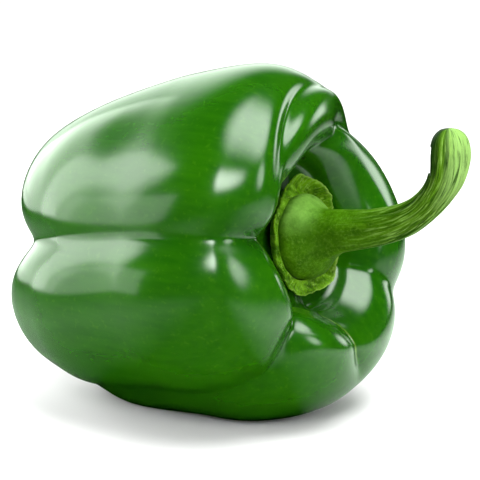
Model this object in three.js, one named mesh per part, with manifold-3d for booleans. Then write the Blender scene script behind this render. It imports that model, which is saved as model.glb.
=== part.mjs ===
// A green bell pepper lying on its side, stem pointing along +X and curling up.
// Millimetres, +Z up. The origin is on the small flat spot that it lies on, near its middle.
//
// The shape is worked out in the pepper's own frame, where the axis runs along +X from the
// blossom end to the stem, and an angle around it is 0 at the top and 90 degrees at -Y.
// The whole group is then tipped, stem end up, and raised onto its flat spot.

import * as THREE from 'three';
import { mergeVertices } from 'three/addons/utils/BufferGeometryUtils.js';
import Module from 'manifold-3d';

const wasm = await Module();
wasm.setup();

const { clamp, degToRad, lerp, smoothstep } = THREE.MathUtils;

// How it lies.
const TILT = degToRad(8); // stem end up
const AXIS_HEIGHT = 42.5; // the axis above the ground, over the origin
const BLOSSOM_END = -44.4; // where the axis starts, along X

// The fruit's half outline, [along the axis, radius], from the blossom dimple over the flank
// and the shoulder down into the throat where the stem sits.
const FRUIT_OUTLINE = [
  [6, 0], [3.2, 8], [0.6, 16], [1.4, 24], [8, 32], [21, 38], [37, 42], [53, 44],
  [66, 42.3], [75.5, 36.5], [80, 28.5], [78, 22.3], [72.5, 18.2], [67, 14.5], [64.8, 0],
];
// Stations on that outline, counted in its points:
// dimple, tip, flank, waist, shoulder, crest, throat, floor.
const STATIONS = [0, 2.5, 4.7, 6.5, 8.5, 10, 12, 14];

// The lobes: where each one is, how far it reaches at the tip, waist and shoulder, how far its
// crest rises along the axis, and how far its tip is shifted along the axis.
const LOBES = [
  { at: 45, tip: 1.05, waist: 0.93, shoulder: 1.07, rise: 4.5, shift: -0.5 },
  { at: 112, tip: 1.22, waist: 1.04, shoulder: 0.94, rise: -1, shift: -2.5 },
  { at: 160, tip: 1.21, waist: 1.01, shoulder: 0.91, rise: 3, shift: -4.5 },
  { at: 216, tip: 1.03, waist: 1.04, shoulder: 1.12, rise: -1, shift: 3 },
  { at: 250, tip: 0.88, waist: 1.04, shoulder: 1.02, rise: 1, shift: 3.5 },
  { at: 294, tip: 0.88, waist: 1, shoulder: 0.88, rise: -7, shift: 3 },
  { at: 350, tip: 0.87, waist: 0.96, shoulder: 1.055, rise: -0.5, shift: 1 },
];
const LOBE_BLEND = 5; // higher keeps each lobe's values nearer to its own angle
// How much each of those values counts at each station.
const TIP_SHARE = [1, 1, 0.6, 0, 0, 0, 0, 0];
const WAIST_SHARE = [0, 0, 0.4, 1, 0.5, 0, 0, 0];
const SHOULDER_SHARE = [0, 0, 0, 0, 0.5, 1, 1, 1];
const RISE_SHARE = [0, 0, 0, 0, 0.4, 1, 0.6, 0];
const SHIFT_SHARE = [0, 1, 0.4, 0, 0, 0, 0, 0];

// The grooves between the lobes, in order around the fruit: angle, depth and softness at each
// station, and width in degrees.
const GROOVES = [
  {
    at: [82, 82, 80, 79, 79, 79, 80, 80],
    depth: [0, 9.5, 3.6, 1.8, 3, 8, 7, 0],
    soft: [0.5, 0.4, 0.7, 0.9, 0.5, 0.12, 0.15, 0.5],
    width: 13,
  },
  {
    at: [150, 150, 148, 144, 142, 138, 138, 138],
    depth: [0, 3.5, 3.5, 3, 3.5, 6, 5, 0],
    soft: [0.5, 0.4, 0.4, 0.5, 0.4, 0.2, 0.2, 0.5],
    width: 13,
  },
  {
    at: [205, 205, 205, 205, 202, 189, 177, 177],
    depth: [0, 1.5, 1, 0.5, 0.6, 3, 3, 0],
    soft: [0.5, 0.5, 0.9, 0.8, 0.3, 0.08, 0.08, 0.5],
    width: 10,
  },
  {
    at: [237, 237, 237, 237, 237, 237, 237, 237],
    depth: [0, 1.5, 1, 1, 3, 4, 2, 0],
    soft: [0.5, 0.5, 0.9, 0.9, 0.5, 0.4, 0.4, 0.5],
    width: 10,
  },
  {
    at: [300, 300, 300, 300, 305, 332, 350, 350],
    depth: [0, 3, 2.5, 2.5, 4.5, 6, 4, 0],
    soft: [0.5, 0.5, 0.9, 0.9, 0.5, 0.2, 0.2, 0.5],
    width: 15,
  },
  {
    at: [340, 340, 348, 350, 352, 410, 420, 420],
    depth: [0, 2.5, 2, 2, 3.5, 5, 6, 0],
    soft: [0.5, 0.5, 0.9, 0.9, 0.6, 0.3, 0.15, 0.5],
    width: 13,
  },
];
// The grooves sink towards a ring inside the fruit, a stretch of the axis at this radius.
const SINK_FROM = 24;
const SINK_TO = 54;
const SINK_RADIUS = 21;
const SIDES_PER_LOBE = 15;
const GROOVE_CROWDING = 0.55; // how much the sides crowd together near the grooves
const FRUIT_STEPS = 42;

// The stem's centre line, [along the axis, up], and its half outline, [distance, radius]:
// a broad domed foot that narrows to the stalk and thickens again at its end.
const STEM_LINE = [
  [66.6, 0], [73, 0.4], [80, 1.4], [90, 2.3], [98, 4.2], [104.5, 8], [109, 13], [111, 18.5], [111.6, 25.8],
];
const STEM_OUTLINE = [
  [0, 0], [0, 8.4], [1.2, 9.6], [3, 9.7], [5, 8.9], [7, 7.4], [9, 6.1], [12, 5.1], [16, 4.8], [22, 4.4],
  [30, 4.0], [37, 3.5], [43, 3.6], [48, 4.2], [53, 4.6], [56.6, 3.9], [58.5, 2.2], [59, 0],
];
const STEM_RIDGES = 5;
const RIDGE_HEIGHT = 0.05; // as a share of the radius
const FOOT_HEIGHT = 6; // the foot is smooth up to here
const STEM_SIDES = 20;
// The slanting cut on the end's inner side: everything nearer the fruit than the first, above the second.
const CUT_ALONG = 107.9;
const CUT_ABOVE = 15;

// The calyx's rim, [angle, radius, along the axis]: broad at the top and bottom, close to the
// stem's foot at the sides, with two flaps that stand up off the fruit.
const CALYX_RIM = [
  [0, 14.9, 70.1], [35, 13.9, 70], [75, 11.4, 68.9], [118, 11.9, 68.6], [160, 14.3, 68.7],
  [191, 15, 69.2], [217, 14.8, 70.6], [234, 12, 71.6], [275, 11.6, 70], [313, 12.6, 71.8],
];
const CALYX_INNER = 10.1;
const CALYX_UNDER = 66.6; // its underside at the inner edge, along the axis
const CALYX_OVER = 68.9; // its upper side there
const RIM_THICKNESS = 1.2;
const CALYX_SIDES = 72;

const lying = new THREE.Group();
lying.rotation.y = -TILT;
lying.position.z = AXIS_HEIGHT;
lying.updateMatrixWorld();

// A point at a distance along the axis, a radius from it and an angle around it.
function aroundAxis(along, radius, angle) {
  return new THREE.Vector3(along, -radius * Math.sin(angle), radius * Math.cos(angle));
}

// A lathe whose every point is then moved to place(point index, share of a turn).
// Triangles that shrink to nothing at the poles are dropped, so the body closes.
function turned(points, sides, place) {
  const lathe = new THREE.LatheGeometry(points, sides);
  lathe.deleteAttribute('normal');
  lathe.deleteAttribute('uv');
  const position = lathe.attributes.position;
  for (let k = 0; k < position.count; k++) {
    const side = Math.floor(k / points.length) % sides;
    const at = place(k % points.length, side / sides);
    position.setXYZ(k, at.x, at.y, at.z);
  }
  const merged = mergeVertices(lathe, 1e-4);
  const corners = merged.index.array;
  const kept = [];
  for (let k = 0; k < corners.length; k += 3) {
    const [a, b, c] = [corners[k], corners[k + 1], corners[k + 2]];
    if (a !== b && b !== c && c !== a) kept.push(a, b, c);
  }
  merged.setIndex(kept);
  return merged;
}

function toSolid(geometry) {
  const merged = mergeVertices(geometry, 1e-4);
  return new wasm.Manifold(new wasm.Mesh({
    numProp: 3,
    vertProperties: new Float32Array(merged.attributes.position.array),
    triVerts: new Uint32Array(merged.index.array),
  }));
}

function toGeometry(solid) {
  const mesh = solid.getMesh();
  const geometry = new THREE.BufferGeometry();
  geometry.setAttribute('position', new THREE.BufferAttribute(mesh.vertProperties, 3));
  geometry.setIndex(new THREE.BufferAttribute(mesh.triVerts, 1));
  geometry.computeVertexNormals();
  return geometry;
}

// A box, centred at a point, for cutting with.
function cutter(size, centre) {
  const box = new THREE.BoxGeometry(size, size, size);
  box.deleteAttribute('normal');
  box.deleteAttribute('uv');
  return box.translate(centre.x, centre.y, centre.z);
}

// A value given at each station, blended smoothly between them.
function alongFruit(station, values) {
  const i = clamp(STATIONS.findLastIndex((mark) => mark <= station), 0, STATIONS.length - 2);
  return lerp(values[i], values[i + 1], smoothstep(station, STATIONS[i], STATIONS[i + 1]));
}

// A lobe's value, blended around the fruit.
function aroundFruit(angle, name) {
  let sum = 0;
  let weights = 0;
  for (const lobe of LOBES) {
    const weight = Math.exp(LOBE_BLEND * (Math.cos(angle - degToRad(lobe.at)) - 1));
    sum += weight * lobe[name];
    weights += weight;
  }
  return sum / weights;
}

function grooveDepth(groove, station, angle) {
  const turn = angle - degToRad(alongFruit(station, groove.at));
  const offset = Math.atan2(Math.sin(turn), Math.cos(turn)) / degToRad(groove.width);
  const soft = alongFruit(station, groove.soft);
  return alongFruit(station, groove.depth) * Math.exp(soft - Math.hypot(offset, soft));
}

// The angle of a share of a turn around the fruit at a station. Whole numbers of lobes land on
// the grooves, so a side of the mesh runs down the bottom of each one.
function fruitAngle(share, station) {
  const turn = share * GROOVES.length;
  const lobe = Math.floor(turn) % GROOVES.length;
  const from = alongFruit(station, GROOVES[lobe].at);
  const next = alongFruit(station, GROOVES[(lobe + 1) % GROOVES.length].at);
  const to = next > from ? next : next + 360;
  const across = turn - Math.floor(turn);
  const crowded = across - (GROOVE_CROWDING * Math.sin(2 * Math.PI * across)) / (2 * Math.PI);
  return degToRad(lerp(from, to, crowded));
}

function fruitPoint(outlinePoint, station, angle) {
  const reach = aroundFruit(angle, 'tip') * alongFruit(station, TIP_SHARE)
    + aroundFruit(angle, 'waist') * alongFruit(station, WAIST_SHARE)
    + aroundFruit(angle, 'shoulder') * alongFruit(station, SHOULDER_SHARE);
  const radius = outlinePoint.x * reach;
  const along = outlinePoint.y + aroundFruit(angle, 'rise') * alongFruit(station, RISE_SHARE)
    + aroundFruit(angle, 'shift') * alongFruit(station, SHIFT_SHARE);
  const depth = GROOVES.reduce((sum, groove) => sum + grooveDepth(groove, station, angle), 0);
  const inAlong = clamp(along, SINK_FROM, SINK_TO) - along;
  const inRadius = SINK_RADIUS - radius;
  const share = depth / Math.hypot(inAlong, inRadius);
  return aroundAxis(BLOSSOM_END + along + inAlong * share, radius + inRadius * share, angle);
}

function makeFruit() {
  const outline = new THREE.SplineCurve(FRUIT_OUTLINE.map(([along, radius]) => new THREE.Vector2(radius, along)));
  const steps = Array.from({ length: FRUIT_STEPS + 1 }, (_, i) => outline.getUtoTmapping(i / FRUIT_STEPS));
  const points = steps.map((t) => outline.getPoint(t));
  const body = turned(points, SIDES_PER_LOBE * GROOVES.length, (i, share) => {
    const station = steps[i] * (FRUIT_OUTLINE.length - 1);
    return fruitPoint(points[i], station, fruitAngle(share, station));
  });
  const ground = cutter(200, new THREE.Vector3(0, 0, -100)).applyMatrix4(lying.matrixWorld.clone().invert());
  return toGeometry(toSolid(body).subtract(toSolid(ground)));
}

// The stalk is turned straight, then each ring of it is carried onto the centre line.
function makeStem() {
  const line = new THREE.SplineCurve(STEM_LINE.map(([along, up]) => new THREE.Vector2(along, up)));
  const points = STEM_OUTLINE.map(([distance, radius]) => new THREE.Vector2(radius, distance));
  const length = STEM_OUTLINE.at(-1)[0];
  const stalk = turned(points, STEM_SIDES, (i, share) => {
    const angle = share * 2 * Math.PI;
    const at = line.getPointAt(points[i].y / length);
    const heading = line.getTangentAt(points[i].y / length);
    const ridge = RIDGE_HEIGHT * smoothstep(points[i].y, FOOT_HEIGHT, 2 * FOOT_HEIGHT);
    const radius = points[i].x * (1 + ridge * Math.cos(STEM_RIDGES * angle));
    const up = radius * Math.cos(angle);
    return new THREE.Vector3(BLOSSOM_END + at.x - up * heading.y, -radius * Math.sin(angle), at.y + up * heading.x);
  });
  const size = 40;
  const corner = new THREE.Vector3(BLOSSOM_END + CUT_ALONG - size / 2, 0, CUT_ABOVE + size / 2);
  return toGeometry(toSolid(stalk).subtract(toSolid(cutter(size, corner))));
}

// The rim's radius and place along the axis at an angle, blended between the given ones.
function calyxRim(angle) {
  const degrees = (angle * 180) / Math.PI;
  const i = CALYX_RIM.findLastIndex(([at]) => at <= degrees);
  const from = CALYX_RIM[i];
  const to = CALYX_RIM[(i + 1) % CALYX_RIM.length];
  const end = to[0] > from[0] ? to[0] : to[0] + 360;
  const share = smoothstep(degrees, from[0], end);
  return { radius: lerp(from[1], to[1], share), along: lerp(from[2], to[2], share) };
}

// A thin collar around the stem's foot. Its section, [from inner edge to rim, from under to over],
// goes once around.
function makeCalyx() {
  const section = [[0, 0], [0.35, 0], [0.7, 0], [1, 0], [1, 1], [0.7, 1], [0.35, 1], [0, 1], [0, 0]];
  const points = section.map(([out, up]) => new THREE.Vector2(1 + out, up));
  return turned(points, CALYX_SIDES, (i, share) => {
    const angle = share * 2 * Math.PI;
    const [out, up] = section[i];
    const rim = calyxRim(angle);
    const under = lerp(CALYX_UNDER, rim.along - RIM_THICKNESS, out * out);
    const over = lerp(CALYX_OVER, rim.along, out * out);
    return aroundAxis(BLOSSOM_END + lerp(under, over, up), lerp(CALYX_INNER, rim.radius, out), angle);
  });
}

function addMesh(name, geometry, color, roughness) {
  const mesh = new THREE.Mesh(geometry, new THREE.MeshStandardMaterial({ color, roughness, metalness: 0 }));
  mesh.name = name;
  lying.add(mesh);
}

addMesh('fruit', makeFruit(), '#347702', 0.2);
addMesh('calyx', makeCalyx(), '#5c7d1e', 0.6);
addMesh('stem', makeStem(), '#4d7510', 0.55);

const pepper = new THREE.Group();
pepper.add(lying);

export default pepper;
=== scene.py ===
import math

import bmesh
import bpy
import numpy as np
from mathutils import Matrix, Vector


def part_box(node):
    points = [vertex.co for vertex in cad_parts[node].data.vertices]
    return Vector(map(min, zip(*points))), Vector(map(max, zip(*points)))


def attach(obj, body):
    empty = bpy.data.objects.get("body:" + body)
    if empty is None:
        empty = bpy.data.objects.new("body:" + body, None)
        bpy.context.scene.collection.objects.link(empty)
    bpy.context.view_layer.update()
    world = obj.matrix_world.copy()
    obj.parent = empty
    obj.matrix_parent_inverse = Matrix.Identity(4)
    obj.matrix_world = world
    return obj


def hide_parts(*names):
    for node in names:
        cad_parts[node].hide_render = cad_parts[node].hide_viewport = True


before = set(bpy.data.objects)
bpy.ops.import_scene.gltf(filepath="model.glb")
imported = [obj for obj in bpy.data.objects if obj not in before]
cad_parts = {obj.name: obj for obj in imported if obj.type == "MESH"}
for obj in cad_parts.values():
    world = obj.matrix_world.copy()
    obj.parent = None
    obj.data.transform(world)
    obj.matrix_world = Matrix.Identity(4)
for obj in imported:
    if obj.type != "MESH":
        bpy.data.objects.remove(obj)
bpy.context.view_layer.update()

# A green bell pepper lying on its side. The fruit, the calyx and the stem are worked out finely in
# the pepper's own frame, in millimetres: its axis runs along +X from the blossom end to the stem,
# and an angle around it is 0 at the top and 90 degrees at -Y. Then they are tipped, stem end up,
# and moved to where the CAD fruit is.

MM = 0.001
TILT = math.radians(8)
# How finely a curve is measured, to space points evenly along it.
CURVE_SAMPLES = 4001

# ---------------------------------------------------------------- the fruit's shape

# The half outline, [along the axis, radius], from the blossom dimple over the flank and the
# shoulder down into the throat where the stem sits.
FRUIT_OUTLINE = [
    [6, 0], [3.2, 8], [0.6, 16], [1.4, 24], [8, 32], [21, 38], [37, 42], [53, 44],
    [66, 42.3], [75.5, 36.5], [80, 28.5], [78, 22.3], [72.5, 18.2], [67, 14.5], [64.8, 0],
]
# Stations on that outline, counted in its points:
# dimple, tip, flank, waist, shoulder, crest, throat, floor.
STATIONS = [0, 2.5, 4.7, 6.5, 8.5, 10, 12, 14]

# The lobes: angle; reach at the tip, the waist and the shoulder; rise of the crest and shift of
# the tip along the axis.
LOBES = [
    dict(at=45, tip=1.05, waist=0.93, shoulder=1.07, rise=4.5, shift=-0.5),
    dict(at=112, tip=1.22, waist=1.04, shoulder=0.94, rise=-1, shift=-2.5),
    dict(at=160, tip=1.21, waist=1.01, shoulder=0.91, rise=3, shift=-4.5),
    dict(at=216, tip=1.03, waist=1.04, shoulder=1.12, rise=-1, shift=3),
    dict(at=250, tip=0.88, waist=1.04, shoulder=1.02, rise=1, shift=3.5),
    dict(at=294, tip=0.88, waist=1, shoulder=0.88, rise=-7, shift=3),
    dict(at=350, tip=0.87, waist=0.96, shoulder=1.075, rise=0, shift=1),
]
LOBE_BLEND = 5
# How much each of a lobe's values counts at each station.
TIP_SHARE = [1, 1, 0.6, 0, 0, 0, 0, 0]
WAIST_SHARE = [0, 0, 0.4, 1, 0.5, 0, 0, 0]
SHOULDER_SHARE = [0, 0, 0, 0, 0.5, 1, 1, 1]
REACH_SHARES = dict(tip=TIP_SHARE, waist=WAIST_SHARE, shoulder=SHOULDER_SHARE)
RISE_SHARE = [0, 0, 0, 0, 0.4, 1, 0.6, 0]
SHIFT_SHARE = [0, 1, 0.4, 0, 0, 0, 0, 0]

# The grooves between the lobes: angle, depth and softness at each station; width in degrees.
GROOVES = [
    dict(at=[82, 82, 80, 79, 79, 79, 80, 80], depth=[0, 9, 3.6, 2, 3, 8, 7, 0],
         soft=[0.5, 0.4, 0.5, 0.7, 0.4, 0.1, 0.12, 0.5], width=13),
    dict(at=[150, 150, 148, 144, 142, 138, 138, 138], depth=[0, 3.5, 3.5, 3, 3.5, 6, 5, 0],
         soft=[0.5, 0.4, 0.4, 0.5, 0.4, 0.2, 0.2, 0.5], width=13),
    dict(at=[205, 205, 205, 203, 196, 187, 183, 183], depth=[0, 1.5, 1, 0.5, 0.6, 3, 3, 0],
         soft=[0.5, 0.5, 0.9, 0.8, 0.3, 0.08, 0.08, 0.5], width=10),
    dict(at=[237, 237, 237, 237, 237, 237, 237, 237], depth=[0, 1.5, 1, 1, 3, 4, 2, 0],
         soft=[0.5, 0.5, 0.9, 0.9, 0.5, 0.4, 0.4, 0.5], width=10),
    dict(at=[300, 300, 300, 300, 305, 332, 350, 350], depth=[0, 3, 2.5, 2.5, 4.5, 6, 4, 0],
         soft=[0.5, 0.5, 0.9, 0.9, 0.5, 0.2, 0.2, 0.5], width=15),
    dict(at=[340, 340, 345, 344, 341, 402, 420, 420], depth=[0, 2.5, 2, 2, 2.6, 4, 5, 0],
         soft=[0.5, 0.5, 0.9, 0.9, 0.9, 0.6, 0.4, 0.5], width=15),
]
# Narrow creases along the bottom of a groove.
CREASES = [
    dict(at=[82, 82, 80, 79, 79, 79, 80, 80], depth=[0, 1, 2.2, 2.2, 1.6, 0, 0, 0],
         soft=[0.4, 0.4, 0.4, 0.4, 0.35, 0.3, 0.3, 0.3], width=6.5),
    dict(at=[150, 150, 148, 144, 142, 138, 138, 138], depth=[0, 0.6, 1.2, 1.4, 1.6, 1, 0, 0],
         soft=[0.3, 0.3, 0.3, 0.3, 0.25, 0.25, 0.2, 0.2], width=7),
]
# The grooves sink towards a ring inside the fruit.
SINK_ALONG = (24, 54)
SINK_RADIUS = 21
# The mesh's sides are crowded towards the grooves, where the shape turns fastest.
SIDES_PER_LOBE = 60
GROOVE_CROWDING = 0.55
FRUIT_STEPS = 300
# The seam where two lobes meet under the stem: its groove, its width in the groove's widths, and
# the stations where it fades in and out.
SEAM_GROOVE = 2
SEAM_WIDTH = 0.07
SEAM_STARTS = (9.3, 10.1)
SEAM_ENDS = (12.2, 11.6)

# ---------------------------------------------------------------- the stem's and the calyx's shape

# The stem's centre line, [along the axis, height], from its foot to its tip.
STEM_LINE = [
    [66.6, 0], [73, 0.4], [80, 1.4], [90, 2.3], [98, 4.2], [104.5, 8], [109, 13], [111, 18.5],
    [111.6, 25],
]
STEM_LINE_STEPS = 400
HEADING_STEP = 0.01
# The stem's half outline, [along its centre line, radius]: a domed foot, the stalk and its end.
STEM_OUTLINE = [
    [0, 0], [0, 8.4], [1.2, 9.6], [3, 10.1], [4.8, 9.7], [6.6, 8.3], [8.6, 6.7], [11.5, 5.4],
    [16, 4.8], [22, 4.4], [30, 4.0], [37, 3.5], [43, 3.6], [48, 4.2], [53, 4.6], [56.6, 3.9],
    [58.5, 2.2], [59, 0],
]
STEM_LENGTH = STEM_OUTLINE[-1][0]
STEM_SIDES = 144
STEM_STEPS = 320
STEM_RIDGES = 5
RIDGE_HEIGHT = 0.05
FOOT_HEIGHT = 6
# The creases of the stalk, [angle, depth as a share of the radius, width in degrees]. They wander by
# a few degrees, deepen along the stalk and fade out at its tip.
STEM_CREASES = [
    [40, 0.05, 6], [75, 0.11, 5], [112, 0.07, 4], [140, 0.13, 4.5], [180, 0.09, 7], [250, 0.12, 8],
    [320, 0.1, 7],
]
CREASE_START = 18
CREASE_FADE = 16
CREASE_END_FADE = 5
CREASE_DRIFT = 4
CREASE_DRIFT_RUN = 7
# Uneven lines around an axis are lists of [count, height, phase] waves.
FIBRE_HEIGHT = 0.006
FIBRE_WAVES = [[19, 1, 0.4], [31, 0.8, 2.1], [47, 0.6, 4.0]]
FIBRE_START = 14
FIBRE_FADE = 8
LUMP_HEIGHT = 0.012
LUMP_WAVES = [[5, 1, 0.3], [9, 0.7, 1.9]]
LUMP_TWIST_RUN = 9
LUMP_FADE = 3
# The uneven cut at the stem's end, which faces the fruit, with a lip at its top. It has slow waves
# and finer fraying.
CUT_ALONG = 107.9
CUT_ABOVE = 15
TORN_DEPTH = 0.18
TORN_RATE = 2.6
FRAY_DEPTH = 0.12
FRAY_RATE = 5.3
LIP_DEPTH = 0.8
LIP_ABOVE = 20.6
LIP_FADE = 1.2

# The calyx's rim, [angle, radius, along the axis].
CALYX_RIM = [
    [0, 15, 70.1], [35, 13.5, 70], [75, 11, 68.8], [118, 11, 68.6], [160, 13.3, 68.7],
    [188, 13.8, 69.2], [215, 14.3, 70.6], [234, 12, 71.6], [275, 11.6, 70], [313, 12.6, 71.8],
]
RIM_RADIUS_WAVES = [
    [7, 0.2, 0.2], [13, 0.12, 1.3], [29, 0.07, 2.2], [61, 0.05, 0.7], [97, 0.05, 3.1],
]
RIM_ALONG_WAVES = [[9, 0.2, 0.9], [23, 0.1, 2.6], [71, 0.05, 0.1]]
RIM_THICKNESS = 0.55
CALYX_INNER = 10.1
CALYX_UNDER = 66.6
CALYX_OVER = 68.9
CALYX_THINNEST = 0.3
# How far the calyx is hollowed between the stem and its rim, [angle, hollow].
CALYX_HOLLOW = [
    [0, 1.7], [40, 1.4], [75, 0.4], [120, 0.2], [165, 0.6], [200, 0.4], [228, 1.8], [255, 0.6],
    [300, 1.3],
]
HOLLOW_FULLNESS = 0.8
CALYX_RIBS = 11
RIB_HEIGHT = 0.16
# The ribs bend as they run out: [count, swing] around the axis, and a twist towards the rim.
RIB_BEND = [3, 2]
RIB_TWIST = 1.5
# The wrinkles on the ribs, [count, height, twist towards the rim, phase].
CALYX_WRINKLES = [[77, 0.05, 9, 0], [19, 0.1, -14, 1]]
CALYX_SIDES = 720
CALYX_STEPS = 60


def smooth(x):
    """A smooth step from 0 to 1 as x goes from 0 to 1."""
    x = np.clip(x, 0, 1)
    return x * x * (3 - 2 * x)


def ramp(value, start, end):
    """A smooth step from 0 to 1 as a value goes from start to end."""
    return smooth((value - start) / (end - start))


def spline(points, at):
    """Points on a Catmull-Rom curve. at counts in points from its start."""
    points = np.array(points, float)
    last = len(points) - 1
    i = np.clip(np.floor(at).astype(int), 0, last - 1)
    w = (at - i)[:, None]
    p0, p1, p2, p3 = (points[np.clip(i + k, 0, last)] for k in (-1, 0, 1, 2))
    v0, v1 = (p2 - p0) / 2, (p3 - p1) / 2
    return (2 * p1 - 2 * p2 + v0 + v1) * w ** 3 + (3 * p2 - 3 * p1 - 2 * v0 - v1) * w ** 2 + v0 * w + p1


def even_steps(points, count):
    """count + 1 places on the curve, an even distance apart, counted in its points."""
    at = np.linspace(0, len(points) - 1, CURVE_SAMPLES)
    lengths = np.linalg.norm(np.diff(spline(points, at), axis=0), axis=1)
    run = np.concatenate([[0], np.cumsum(lengths)])
    return np.interp(np.linspace(0, run[-1], count + 1), run, at)


def along_fruit(station, values):
    """A value given at each station, blended smoothly between them."""
    marks, values = np.array(STATIONS, float), np.array(values, float)
    i = np.clip(np.searchsorted(marks, station, side="right") - 1, 0, len(marks) - 2)
    share = smooth((station - marks[i]) / (marks[i + 1] - marks[i]))
    return values[i] * (1 - share) + values[i + 1] * share


def around_fruit(angle, name):
    """A lobe's value, blended around the fruit."""
    weights = [np.exp(LOBE_BLEND * (np.cos(angle - math.radians(lobe["at"])) - 1)) for lobe in LOBES]
    return sum(w * lobe[name] for w, lobe in zip(weights, LOBES)) / sum(weights)


def fruit_angle(share, station):
    """The angle of a share of a turn. Whole numbers of lobes land on the grooves."""
    turn = share * len(GROOVES)
    lobe = np.floor(turn).astype(int) % len(GROOVES)
    across = turn - np.floor(turn)
    ways = np.array([along_fruit(station, groove["at"]) for groove in GROOVES])
    start = ways[lobe]
    end = ways[(lobe + 1) % len(GROOVES)]
    end = np.where(end > start, end, end + 360)
    crowded = across - GROOVE_CROWDING * np.sin(2 * np.pi * across) / (2 * np.pi)
    return np.radians(start + (end - start) * crowded[:, None])


def groove_offset(groove, station, angle):
    """How far an angle is from a groove, in the groove's widths."""
    turn = angle - np.radians(along_fruit(station, groove["at"]))
    return np.arctan2(np.sin(turn), np.cos(turn)) / math.radians(groove["width"])


def around_axis(along, radius, angle):
    """Points at an angle around the pepper's axis."""
    return np.stack([along, -radius * np.sin(angle), radius * np.cos(angle)], -1)


def fruit_points():
    """The fruit's points, one row per side, and for each its station, how deep in a groove it is and
    how close it is to the seam under the stem."""
    steps = even_steps(FRUIT_OUTLINE, FRUIT_STEPS)
    outline = spline(FRUIT_OUTLINE, steps)
    sides = SIDES_PER_LOBE * len(GROOVES)
    angle = fruit_angle(np.arange(sides) / sides, steps)
    reach = sum(
        around_fruit(angle, name) * along_fruit(steps, share)
        for name, share in REACH_SHARES.items()
    )
    radius = outline[:, 1] * reach
    along = outline[:, 0] + around_fruit(angle, "rise") * along_fruit(steps, RISE_SHARE)
    along = along + around_fruit(angle, "shift") * along_fruit(steps, SHIFT_SHARE)
    depth = 0
    for groove in GROOVES + CREASES:
        soft = along_fruit(steps, groove["soft"])
        offset = groove_offset(groove, steps, angle)
        depth = depth + along_fruit(steps, groove["depth"]) * np.exp(soft - np.hypot(offset, soft))
    in_along = np.clip(along, *SINK_ALONG) - along
    in_radius = SINK_RADIUS - radius
    share = depth / np.hypot(in_along, in_radius)
    points = around_axis(along + in_along * share, radius + in_radius * share, angle)
    offset = groove_offset(GROOVES[SEAM_GROOVE], steps, angle)
    seam = np.exp(-(offset / SEAM_WIDTH) ** 2) * ramp(steps, *SEAM_STARTS) * ramp(steps, *SEAM_ENDS)
    return points, np.broadcast_to(steps, depth.shape), depth, seam


def wander(angle, waves):
    """An uneven line around the axis, the sum of [count, height, phase] waves."""
    return sum(height * np.sin(count * angle + phase) for count, height, phase in waves)


def around_values(degrees, rows, column):
    """Values given at angles around the axis, blended smoothly between them."""
    ring = np.array(rows + [[360] + rows[0][1:]], float)
    i = np.clip(np.searchsorted(ring[:, 0], degrees, side="right") - 1, 0, len(ring) - 2)
    share = smooth((degrees - ring[i, 0]) / (ring[i + 1, 0] - ring[i, 0]))
    return ring[i, column] * (1 - share) + ring[i + 1, column] * share


def stem_course(run):
    """The centre line's points and headings at distances along the stem."""
    even = even_steps(STEM_LINE, STEM_LINE_STEPS)
    share = np.clip(run / STEM_LENGTH, 0, 1)
    at = np.interp(share, np.linspace(0, 1, len(even)), even)
    ahead = spline(STEM_LINE, np.minimum(at + HEADING_STEP, len(STEM_LINE) - 1))
    heading = ahead - spline(STEM_LINE, np.maximum(at - HEADING_STEP, 0))
    heading /= np.linalg.norm(heading, axis=1, keepdims=True)
    return spline(STEM_LINE, at), heading


def stem_relief(angle, run):
    """The stem's ridges, creases, fibres and lumps, as a factor on its radius."""
    grown = ramp(run, FOOT_HEIGHT, 2 * FOOT_HEIGHT)
    relief = 1 + RIDGE_HEIGHT * grown * np.cos(STEM_RIDGES * angle)
    creased = ramp(run, CREASE_START, CREASE_START + CREASE_FADE)
    creased = creased * ramp(run, STEM_LENGTH, STEM_LENGTH - CREASE_END_FADE)
    for at, depth, width in STEM_CREASES:
        drift = CREASE_DRIFT * np.sin(run / CREASE_DRIFT_RUN + at)
        turn = (np.degrees(angle) - at - drift + 180) % 360 - 180
        relief = relief - depth * creased * np.exp(-(turn / width) ** 2)
    fibres = ramp(run, FIBRE_START, FIBRE_START + FIBRE_FADE) * wander(angle, FIBRE_WAVES)
    lumps = (1 - grown) * ramp(run, 0, LUMP_FADE) * wander(angle + run / LUMP_TWIST_RUN, LUMP_WAVES)
    return relief + FIBRE_HEIGHT * fibres + LUMP_HEIGHT * lumps


def cut_tip(along, aside, height):
    """Brings the stem's tip in to the torn cut that faces the fruit."""
    torn = CUT_ALONG + TORN_DEPTH * np.sin(TORN_RATE * height)
    torn = torn + FRAY_DEPTH * np.sin(FRAY_RATE * height + aside)
    lip = LIP_DEPTH * ramp(height, LIP_ABOVE, LIP_ABOVE + LIP_FADE)
    return np.where(height > CUT_ABOVE, np.maximum(along, torn - lip), along)


def stem_points():
    """The stem's points, one row per side, and for each how far along the stem it is and the cosine
    and sine of its angle. Each ring is turned around the stem's own centre line."""
    outline = spline(STEM_OUTLINE, even_steps(STEM_OUTLINE, STEM_STEPS))
    run = outline[:, 0]
    centre, heading = stem_course(run)
    angle = np.arange(STEM_SIDES)[:, None] / STEM_SIDES * 2 * np.pi
    radius = np.maximum(outline[:, 1], 0) * stem_relief(angle, run)
    up = radius * np.cos(angle)
    aside = -radius * np.sin(angle)
    height = centre[:, 1] + up * heading[:, 0]
    along = cut_tip(centre[:, 0] - up * heading[:, 1], aside, height)
    points = np.stack([along, aside, height], -1)
    values = (np.broadcast_to(value, radius.shape) for value in (run, np.cos(angle), np.sin(angle)))
    return points, *values


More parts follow.
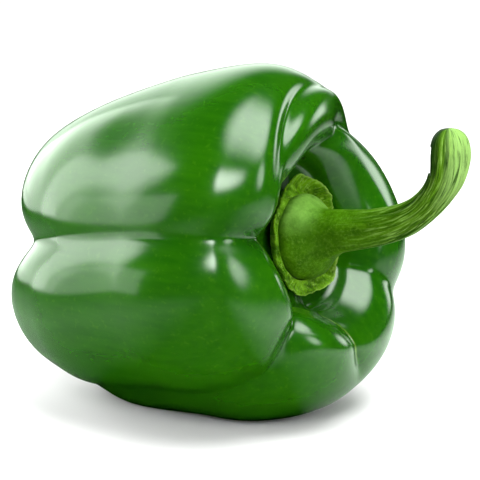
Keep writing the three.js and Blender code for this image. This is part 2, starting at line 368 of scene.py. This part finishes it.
def calyx_ribs(angle, out):
    """The height of the collar's ribs, with the wrinkles on them."""
    count, swing = RIB_BEND
    bend = swing * np.sin(count * angle) + RIB_TWIST * out
    ribs = RIB_HEIGHT * np.sin(CALYX_RIBS * angle + bend)
    for count, height, twist, phase in CALYX_WRINKLES:
        ribs = ribs + height * np.sin(count * angle + twist * out + phase)
    return ribs


def calyx_points():
    """The collar's points, one row per side, and for each its share of the way out to the rim,
    negative beneath, and the height of the ribs there, 0 beneath."""
    angle = np.arange(CALYX_SIDES)[:, None] / CALYX_SIDES * 2 * np.pi
    degrees = np.degrees(angle)
    rim_radius = around_values(degrees, CALYX_RIM, 1) + wander(angle, RIM_RADIUS_WAVES)
    rim_along = around_values(degrees, CALYX_RIM, 2) + wander(angle, RIM_ALONG_WAVES)
    hollow = around_values(degrees, CALYX_HOLLOW, 1)
    half = np.linspace(0, 1, CALYX_STEPS + 1)
    out = np.concatenate([half, half[::-1]])
    upper = np.concatenate([np.zeros_like(half), np.ones_like(half)])
    ribs = calyx_ribs(angle, out)
    under = CALYX_UNDER + (rim_along - RIM_THICKNESS - CALYX_UNDER) * out ** 2
    over = CALYX_OVER + (rim_along - CALYX_OVER) * out ** 2
    over = over + (ribs - hollow) * np.sin(np.pi * out) ** HOLLOW_FULLNESS
    over = np.maximum(over, under + CALYX_THINNEST)
    radius = CALYX_INNER + (rim_radius - CALYX_INNER) * out
    points = around_axis(under + (over - under) * upper, radius, angle)
    return points, np.broadcast_to(np.where(upper > 0, out, -out), over.shape), ribs * upper


def tipped(points):
    """From the pepper's own frame, in millimetres, to the ground's, in metres."""
    x, y, z = points[..., 0], points[..., 1], points[..., 2]
    c, s = math.cos(TILT), math.sin(TILT)
    return np.stack([x * c - z * s, y, x * s + z * c], -1) * MM


def grid_faces(sides, steps, poles):
    """The faces between the rows of a grid, where rows run along and close around the axis."""
    index = np.arange(sides * steps).reshape(sides, steps)
    pairs = [(k, k + 1) for k in range(steps - 1)]
    if poles:
        index[:, 0] = 0
        index[:, -1] = steps - 1
    else:
        pairs.append((steps - 1, 0))
    after = np.roll(index, -1, 0)
    faces = []
    for a, b in pairs:
        for corner in zip(index[:, a], index[:, b], after[:, b], after[:, a]):
            faces.append([int(v) for v in dict.fromkeys(corner)])
    return faces


def grid_mesh(name, points, poles, values):
    """A smooth mesh whose rows, one per side, close around the axis. With poles, each row's two ends
    are shared by all; without, the rows close on themselves. values are per-point attributes."""
    mesh = bpy.data.meshes.new(name)
    mesh.from_pydata(points.reshape(-1, 3).tolist(), [], grid_faces(*points.shape[:2], poles))
    for key, value in values.items():
        attribute = mesh.attributes.new(key, "FLOAT", "POINT")
        attribute.data.foreach_set("value", np.ascontiguousarray(value, np.float32).ravel())
    piece = bpy.data.objects.new(name, mesh)
    bpy.context.scene.collection.objects.link(piece)
    shell = bmesh.new()
    shell.from_mesh(mesh)
    bmesh.ops.delete(shell, geom=[v for v in shell.verts if not v.link_faces], context="VERTS")
    bmesh.ops.recalc_face_normals(shell, faces=shell.faces)
    shell.to_mesh(mesh)
    shell.free()
    mesh.shade_smooth()
    return piece


# ---------------------------------------------------------------- materials


class Nodes:
    """A short way to write a material's node tree."""

    def __init__(self, name):
        self.material = bpy.data.materials.new(name)
        self.material.use_nodes = True
        self.tree = self.material.node_tree
        self.shader = self.tree.nodes["Principled BSDF"]

    def add(self, kind, values=None, links=None, **settings):
        node = self.tree.nodes.new("ShaderNode" + kind)
        for key, value in settings.items():
            setattr(node, key, value)
        for key, value in (values or {}).items():
            node.inputs[key].default_value = value
        for key, output in (links or {}).items():
            self.tree.links.new(output, node.inputs[key])
        return node

    def set(self, values):
        """Values that are the same all over the surface."""
        for socket, value in values.items():
            self.shader.inputs[socket].default_value = value

    def link(self, output, socket):
        self.tree.links.new(output, self.shader.inputs[socket])

    def value(self, name):
        """One of the mesh's own per-point values."""
        return self.add("Attribute", attribute_name=name).outputs["Fac"]

    def noise(self, vector, scale, detail=3.0, roughness=0.5, distortion=0.0):
        values = dict(Scale=scale, Detail=detail, Roughness=roughness, Distortion=distortion)
        return self.add("TexNoise", values, dict(Vector=vector)).outputs["Fac"]

    def span(self, value, low, high, to_low=0.0, to_high=1.0):
        """A value's place between low and high, carried over to another span."""
        values = {"From Min": low, "From Max": high, "To Min": to_low, "To Max": to_high}
        return self.add("MapRange", values, dict(Value=value)).outputs["Result"]

    def math(self, operation, a, b):
        """A sum or product of two values or outputs."""
        node = self.add("Math", operation=operation)
        for k, value in enumerate((a, b)):
            if isinstance(value, (int, float)):
                node.inputs[k].default_value = value
            else:
                self.tree.links.new(value, node.inputs[k])
        return node.outputs[0]

    def times(self, a, b):
        return self.math("MULTIPLY", a, b)

    def mix(self, share, a, b):
        """Colour a with a share of colour b laid over it."""
        node = self.add("Mix", data_type="RGBA", blend_type="MIX", clamp_factor=True)
        for socket, value in ((0, share), (6, a), (7, b)):
            if isinstance(value, (int, float, tuple)):
                node.inputs[socket].default_value = value
            else:
                self.tree.links.new(value, node.inputs[socket])
        return node.outputs[2]

    def bump(self, height, strength, distance, normal=None):
        links = dict(Height=height)
        if normal is not None:
            links["Normal"] = normal
        return self.add("Bump", dict(Strength=strength, Distance=distance), links).outputs["Normal"]

    def stretched(self, scale):
        """Object coordinates in the pepper's own directions, scaled."""
        where = self.add("TexCoord").outputs["Object"]
        mapping = self.add("Mapping", dict(Rotation=(0, TILT, 0), Scale=scale), dict(Vector=where))
        return mapping.outputs["Vector"]


def colour(red, green, blue):
    """A linear colour from 0 to 255 screen values."""
    shares = [value / 255 for value in (red, green, blue)]
    linear = [c / 12.92 if c <= 0.04045 else ((c + 0.055) / 1.055) ** 2.4 for c in shares]
    return (*linear, 1.0)


SKIN_DEEP = colour(16, 66, 0.4)
SKIN_LIGHT = colour(29, 82, 0.8)
SKIN_STREAK = colour(52, 106, 3)
# The colour of the painted shade in the grooves.
SKIN_PAINTED_GROOVE_SHADE = colour(12, 60, 0.5)
SKIN_SPECK = colour(84, 130, 20)
SKIN_SEAM = colour(104, 134, 50)
SCAR_DARK = colour(96, 78, 38)
SCAR_LIGHT = colour(150, 128, 76)

FOOT_DEEP = colour(40, 75, 0.8)
FOOT_LIGHT = colour(60, 102, 2)
FOOT_SPECK = colour(98, 136, 44)
FOOT_PIT = colour(26, 52, 2)
# The colour of the painted highlight on the foot's upper front.
FOOT_PAINTED_HIGHLIGHT = colour(118, 160, 70)
FOOT_HEART = colour(30, 60, 1)
STALK_DEEP = colour(22, 50, 1)
STALK_LIGHT = colour(70, 108, 10)
STALK_OUTER = colour(160, 198, 112)
STALK_FIBRE = colour(140, 176, 84)
STALK_LINE = colour(24, 56, 2)
# The colour of the painted shade inside the stalk's curl.
STALK_PAINTED_SHADE = colour(8, 34, 1)

CALYX_DEEP = colour(58, 104, 2)
CALYX_LIGHT = colour(110, 158, 22)
# The colours of the painted shade between the collar's ribs and the painted highlight along them.
CALYX_PAINTED_SHADE = colour(24, 52, 1)
CALYX_PAINTED_HIGHLIGHT = colour(116, 162, 34)
CALYX_FIBRE = colour(156, 194, 80)
CALYX_PIT = colour(20, 44, 1)
CALYX_EDGE = colour(148, 180, 82)


def scar(n, where):
    """The dry scar at the blossom end: its share of the surface and its colour."""
    ragged = n.span(n.noise(where, 700, 2), 0.3, 0.7, -0.05, 0.05)
    share = n.span(n.math("ADD", n.value("station"), ragged), 0.34, 0.24)
    return share, n.mix(n.span(n.noise(where, 1400, 3), 0.4, 0.6), SCAR_DARK, SCAR_LIGHT)


def skin_material():
    """Waxy green skin: a clear coat over a green that varies, with painted shade in the grooves, pale specks
    and a dry scar.
    """
    n = Nodes("skin")
    where = n.stretched((1, 1, 1))
    cloudy = n.span(n.noise(where, 38, 4, 0.6), 0.3, 0.7)
    streaks = n.span(n.noise(n.stretched((12, 160, 160)), 4, 3), 0.35, 0.65)
    speck = n.span(n.noise(where, 900, 2), 0.6, 0.72)
    broken = n.span(n.noise(where, 500, 3), 0.25, 0.6, 0.2, 0.8)
    base = n.mix(cloudy, SKIN_DEEP, SKIN_LIGHT)
    base = n.mix(n.times(streaks, 0.15), base, SKIN_STREAK)
    # Painted shade: the green darkens with the depth of the grooves.
    base = n.mix(n.span(n.value("groove"), 2.5, 9, 0, 0.75), base, SKIN_PAINTED_GROOVE_SHADE)
    base = n.mix(n.times(speck, 0.1), base, SKIN_SPECK)
    base = n.mix(n.times(n.value("seam"), broken), base, SKIN_SEAM)
    scarred, dry = scar(n, where)
    base = n.mix(scarred, base, dry)
    n.link(base, "Base Color")
    n.set({"Roughness": 0.45, "Specular IOR Level": 0.0})
    n.set({"Coat Weight": 1.0, "Coat Roughness": 0.17, "Coat IOR": 1.5})
    waves = n.bump(n.noise(where, 70, 2, 0.4), 0.07, 0.0005)
    n.link(waves, "Normal")
    n.link(waves, "Coat Normal")
    return n.material


def stem_grain(n, across, along):
    """Coordinates on the stem's own round and length, so that noise is drawn out along it."""
    x, y = n.times(n.value("side"), across), n.times(n.value("front"), across)
    z = n.times(n.value("run"), along)
    return n.add("CombineXYZ", links=dict(X=x, Y=y, Z=z)).outputs["Vector"]


def foot_colour(n, side, front, run, fine):
    """The stem's foot: mottled and speckled, with a painted highlight on its upper front, and darker at its
    heart.
    """
    mottle = n.span(n.noise(n.stretched((1, 1, 1)), 320, 5, 0.65), 0.3, 0.7)
    # Painted highlight: a pale patch where the foot's upper front faces the lamps.
    patch = n.times(n.span(side, 0.15, 0.75), n.times(n.span(run, 2, 4.5), n.span(run, 11, 7)))
    heart = n.times(n.span(front, 0.5, 0.9), n.times(n.span(run, 4, 8), n.span(run, 20, 12)))
    base = n.mix(mottle, FOOT_DEEP, FOOT_LIGHT)
    base = n.mix(n.times(n.span(fine, 0.5, 0.72), 0.5), base, FOOT_SPECK)
    base = n.mix(n.span(fine, 0.46, 0.3, 0, 0.4), base, FOOT_PIT)
    base = n.mix(n.times(patch, n.span(mottle, 0, 1, 0.3, 0.9)), base, FOOT_PAINTED_HIGHLIGHT)
    return n.mix(n.times(heart, 0.5), base, FOOT_HEART)


def stalk_colour(n, side, run, fibre):
    """The stalk: pale fibres and dark lines, palest outside the curl, with painted shade darkening the
    inside of the curl.
    """
    broad = n.noise(stem_grain(n, 2.2, 0.03), 1.0, 2, 0.5)
    outer = n.times(n.span(side, -0.2, -0.8), n.span(run, 40, 50))
    # Painted shade: the inside of the curl near the stalk's end is darkened.
    inside_shade = n.times(n.span(side, -0.1, 0.25), n.span(run, 42, 50))
    base = n.mix(n.span(broad, 0.35, 0.65), STALK_DEEP, STALK_LIGHT)
    base = n.mix(n.times(outer, 0.65), base, STALK_OUTER)
    base = n.mix(n.times(n.span(fibre, 0.53, 0.64), 0.6), base, STALK_FIBRE)
    base = n.mix(n.span(fibre, 0.48, 0.37, 0, 0.9), base, STALK_LINE)
    return n.mix(n.times(inside_shade, 0.85), base, STALK_PAINTED_SHADE)


def stem_material():
    """A fibrous green stem that goes from a mottled foot to a streaky stalk."""
    n = Nodes("stem_green")
    run, side, front = n.value("run"), n.value("side"), n.value("front")
    fibre = n.noise(stem_grain(n, 9.0, 0.16), 1.0, 5, 0.65, 0.4)
    fine = n.noise(n.stretched((1, 1, 1)), 1500, 4, 0.7)
    ripe = n.span(run, 14, 36)
    foot = foot_colour(n, side, front, run, fine)
    n.link(n.mix(ripe, foot, stalk_colour(n, side, run, fibre)), "Base Color")
    n.set({"Roughness": 0.45, "Specular IOR Level": 0.03})
    grain = n.bump(fine, 0.5, 0.0003)
    n.link(n.bump(n.times(fibre, ripe), 0.6, 0.0005, grain), "Normal")
    return n.material


def calyx_material():
    """A fibrous collar, with painted shade between its ribs and a painted highlight along them, and paler at
    its ragged edge.
    """
    n = Nodes("calyx_green")
    where = n.stretched((1, 1, 1))
    rib = n.value("rib")
    fibre = n.noise(where, 800, 5, 0.7, 0.6)
    patch = n.noise(where, 260, 3, 0.6)
    worn = n.span(n.noise(where, 420, 2), 0.3, 0.6, 0.35, 0.95)
    base = n.mix(n.span(patch, 0.35, 0.65), CALYX_DEEP, CALYX_LIGHT)
    # Painted shade in the valleys between the ribs, and a painted highlight along the rib tops.
    base = n.mix(n.span(rib, -0.05, -0.3, 0, 0.6), base, CALYX_PAINTED_SHADE)
    base = n.mix(n.span(rib, 0.08, 0.35, 0, 0.5), base, CALYX_PAINTED_HIGHLIGHT)
    base = n.mix(n.times(n.span(fibre, 0.54, 0.68), 0.7), base, CALYX_FIBRE)
    base = n.mix(n.span(fibre, 0.45, 0.3, 0, 0.7), base, CALYX_PIT)
    base = n.mix(n.times(n.span(n.value("out"), 0.93, 0.99), worn), base, CALYX_EDGE)
    n.link(base, "Base Color")
    n.set({"Roughness": 0.45, "Specular IOR Level": 0.06})
    n.link(n.bump(fibre, 0.7, 0.0005), "Normal")
    return n.material


# ---------------------------------------------------------------- the pieces

own_fruit, station, depth, seam = fruit_points()
fruit = tipped(own_fruit)
to_frame = np.array(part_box("fruit")[1]) - fruit.reshape(-1, 3).max(0)
fruit = fruit + to_frame
fruit[..., 2] = np.maximum(fruit[..., 2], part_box("fruit")[0].z)
skin = grid_mesh("pepper_fruit", fruit, True, dict(groove=depth, station=station, seam=seam))
skin.data.materials.append(skin_material())

own_stem, run, side, front = stem_points()
stalk = grid_mesh("pepper_stem", tipped(own_stem) + to_frame, True, dict(run=run, side=side, front=front))
stalk.data.materials.append(stem_material())

own_calyx, outward, rib = calyx_points()
collar = grid_mesh("pepper_calyx", tipped(own_calyx) + to_frame, False, dict(out=outward, rib=rib))
collar.data.materials.append(calyx_material())

pieces = (
    (skin, "fruit", "skin"),
    (stalk, "stem", "stem_green"),
    (collar, "calyx", "calyx_green"),
)
for piece, node, slot in pieces:
    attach(piece, "root")
    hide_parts(node)

# ---------------------------------------------------------------- floor, lights and camera

CAMERA_AZIMUTH = 35
CAMERA_ELEVATION = 14
CAMERA_DISTANCE = 0.6
CAMERA_LENS = 187
AIM = Vector((0.0041, 0.0030, 0.0409))

FLOOR_SIZE = 12
FLOOR_COLOUR = (0.92, 0.83, 0.92, 1)
# In glossy reflections the floor is black, with a pale glow on two sides of the pepper. Each is given
# as the metres to the camera's right where it starts and where it is full, and its brightness. Both
# fade out with distance from the pepper.
GLOSS_FLOOR_COLOUR = (0, 0, 0, 1)
GLOW_COLOUR = (0.82, 1, 0.82, 1)
GLOW_RIGHT = (0.02, 0.07, 2.2)
GLOW_LEFT = (-0.03, -0.08, 0.9)
GLOW_FADE = (0.08, 0.26)

# The sky is pale behind the pepper and dim on the camera's side.
SKY_COLOUR = (0.87, 1, 0.88, 1)
SKY_BACK = 2.4
SKY_FRONT = 0.02
SKY_BACK_AZIMUTH = -130
SKY_FADE = (0.72, 0.97)

LAMP_COLOUR = (0.9, 1, 0.9)
# A soft lamp is dark at its edge and full at its core, in shares of its size from its middle.
LAMP_EDGE = 0.5
LAMP_CORE = 0.15
# Where each lamp is, in degrees and metres from the fruit's middle, its size, and how bright its
# middle looks. A soft lamp is round and fades towards its edge; without gloss it isn't reflected.
LAMPS = [
    dict(name="left", azimuth=-86, elevation=15, distance=0.32, size=(0.36, 0.25), glow=3.6, soft=False),
    dict(name="left core", azimuth=-62, elevation=13, distance=0.3, size=(0.14, 0.24), glow=3.8, soft=False),
    dict(name="left edge", azimuth=-40, elevation=3, distance=0.3, size=(0.12, 0.14), glow=2.6, soft=False),
    dict(name="front", azimuth=24, elevation=30, distance=0.8, size=(0.3, 0.46), glow=20),
    dict(name="overhead", azimuth=82, elevation=71, distance=0.7, size=(0.9, 0.9), glow=11),
    dict(name="right", azimuth=76, elevation=21, distance=0.7, size=(0.42, 0.6), glow=8),
    dict(name="back", azimuth=159, elevation=9, distance=0.7, size=(0.4, 0.36), glow=5.2),
    dict(name="backdrop", azimuth=-145, elevation=45, distance=1.1, size=(1, 1), glow=2.2, soft=False,
         gloss=False),
]


def direction(azimuth, elevation):
    """A unit vector. Azimuth 0 is -Y and 90 is +X."""
    a, e = math.radians(azimuth), math.radians(elevation)
    return Vector((math.sin(a) * math.cos(e), -math.cos(a) * math.cos(e), math.sin(e)))


def smooth_span(tree, value, low, high, to_low, to_high):
    """A value's place between low and high, carried over to another span with soft ends."""
    node = tree.nodes.new("ShaderNodeMapRange")
    node.interpolation_type = "SMOOTHSTEP"
    spans = {"From Min": low, "From Max": high, "To Min": to_low, "To Max": to_high}
    for socket, number in spans.items():
        node.inputs[socket].default_value = number
    tree.links.new(value, node.inputs["Value"])
    return node.outputs["Result"]


def floor_glow(n, place):
    """How bright the floor looks in reflections, from its places around the origin."""
    aside = n.add("VectorMath", links=dict(Vector=place), operation="DOT_PRODUCT")
    aside.inputs[1].default_value = direction(CAMERA_AZIMUTH + 90, 0)
    away = n.add("VectorMath", links=dict(Vector=place), operation="LENGTH").outputs["Value"]
    sides = [
        n.span(aside.outputs["Value"], start, full, 0, bright)
        for start, full, bright in (GLOW_RIGHT, GLOW_LEFT)
    ]
    return n.times(n.math("ADD", *sides), n.span(away, *GLOW_FADE, 1, 0))


def floor_material():
    """Matt white, but dark with a pale glow in glossy reflections."""
    n = Nodes("floor_white")
    in_gloss = n.add("LightPath").outputs["Is Glossy Ray"]
    glow = floor_glow(n, n.add("TexCoord").outputs["Object"])
    n.link(n.mix(in_gloss, FLOOR_COLOUR, GLOSS_FLOOR_COLOUR), "Base Color")
    n.link(n.times(in_gloss, glow), "Emission Strength")
    n.set({"Emission Color": GLOW_COLOUR, "Roughness": 0.9, "Specular IOR Level": 0.0})
    return n.material


def make_sky():
    world = bpy.data.worlds.new("studio")
    bpy.context.scene.world = world
    world.use_nodes = True
    sky = world.node_tree
    background = sky.nodes["Background"]
    background.inputs["Color"].default_value = SKY_COLOUR
    facing = sky.nodes.new("ShaderNodeVectorMath")
    facing.operation = "DOT_PRODUCT"
    sky.links.new(sky.nodes.new("ShaderNodeTexCoord").outputs["Generated"], facing.inputs[0])
    facing.inputs[1].default_value = direction(SKY_BACK_AZIMUTH, 0)
    strength = smooth_span(sky, facing.outputs["Value"], *SKY_FADE, SKY_FRONT, SKY_BACK)
    sky.links.new(strength, background.inputs["Strength"])


def soften(lamp):
    """Fade the lamp's surface from its middle to its edge."""
    lamp.use_nodes = True
    tree = lamp.node_tree
    out = tree.nodes.new("ShaderNodeVectorMath")
    out.operation = "DISTANCE"
    out.inputs[1].default_value = (0.5, 0.5, 0)
    tree.links.new(tree.nodes.new("ShaderNodeNewGeometry").outputs["Parametric"], out.inputs[0])
    strength = smooth_span(tree, out.outputs["Value"], LAMP_EDGE, LAMP_CORE, 0, 1)
    tree.links.new(strength, tree.nodes["Emission"].inputs["Strength"])


def softbox(middle, name, azimuth, elevation, distance, size, glow, soft=True, gloss=True):
    """A lamp facing the pepper's middle."""
    lamp = bpy.data.lights.new(name, "AREA")
    lamp.shape = "ELLIPSE" if soft else "RECTANGLE"
    lamp.size, lamp.size_y = size
    area = size[0] * size[1] * (math.pi / 4 if soft else 1)
    lamp.energy = glow * math.pi * area
    lamp.color = LAMP_COLOUR
    if soft:
        soften(lamp)
    light = bpy.data.objects.new(name, lamp)
    light.visible_glossy = gloss
    bpy.context.scene.collection.objects.link(light)
    towards = direction(azimuth, elevation)
    light.location = middle + towards * distance
    light.rotation_euler = (-towards).to_track_quat("-Z", "Y").to_euler()


def make_camera():
    data = bpy.data.cameras.new("camera")
    data.lens = CAMERA_LENS
    camera = bpy.data.objects.new("camera", data)
    bpy.context.scene.collection.objects.link(camera)
    view = direction(CAMERA_AZIMUTH, CAMERA_ELEVATION)
    camera.location = AIM + view * CAMERA_DISTANCE
    camera.rotation_euler = (-view).to_track_quat("-Z", "Y").to_euler()
    return camera


bpy.ops.mesh.primitive_plane_add(size=FLOOR_SIZE)
floor = bpy.context.object
floor.name = "floor"
floor.data.materials.append(floor_material())

make_sky()
fruit_middle = (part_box("fruit")[0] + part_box("fruit")[1]) / 2
for lamp in LAMPS:
    softbox(fruit_middle, **lamp)

bpy.context.scene.camera = make_camera()
bpy.context.scene.view_settings.view_transform = "Standard"
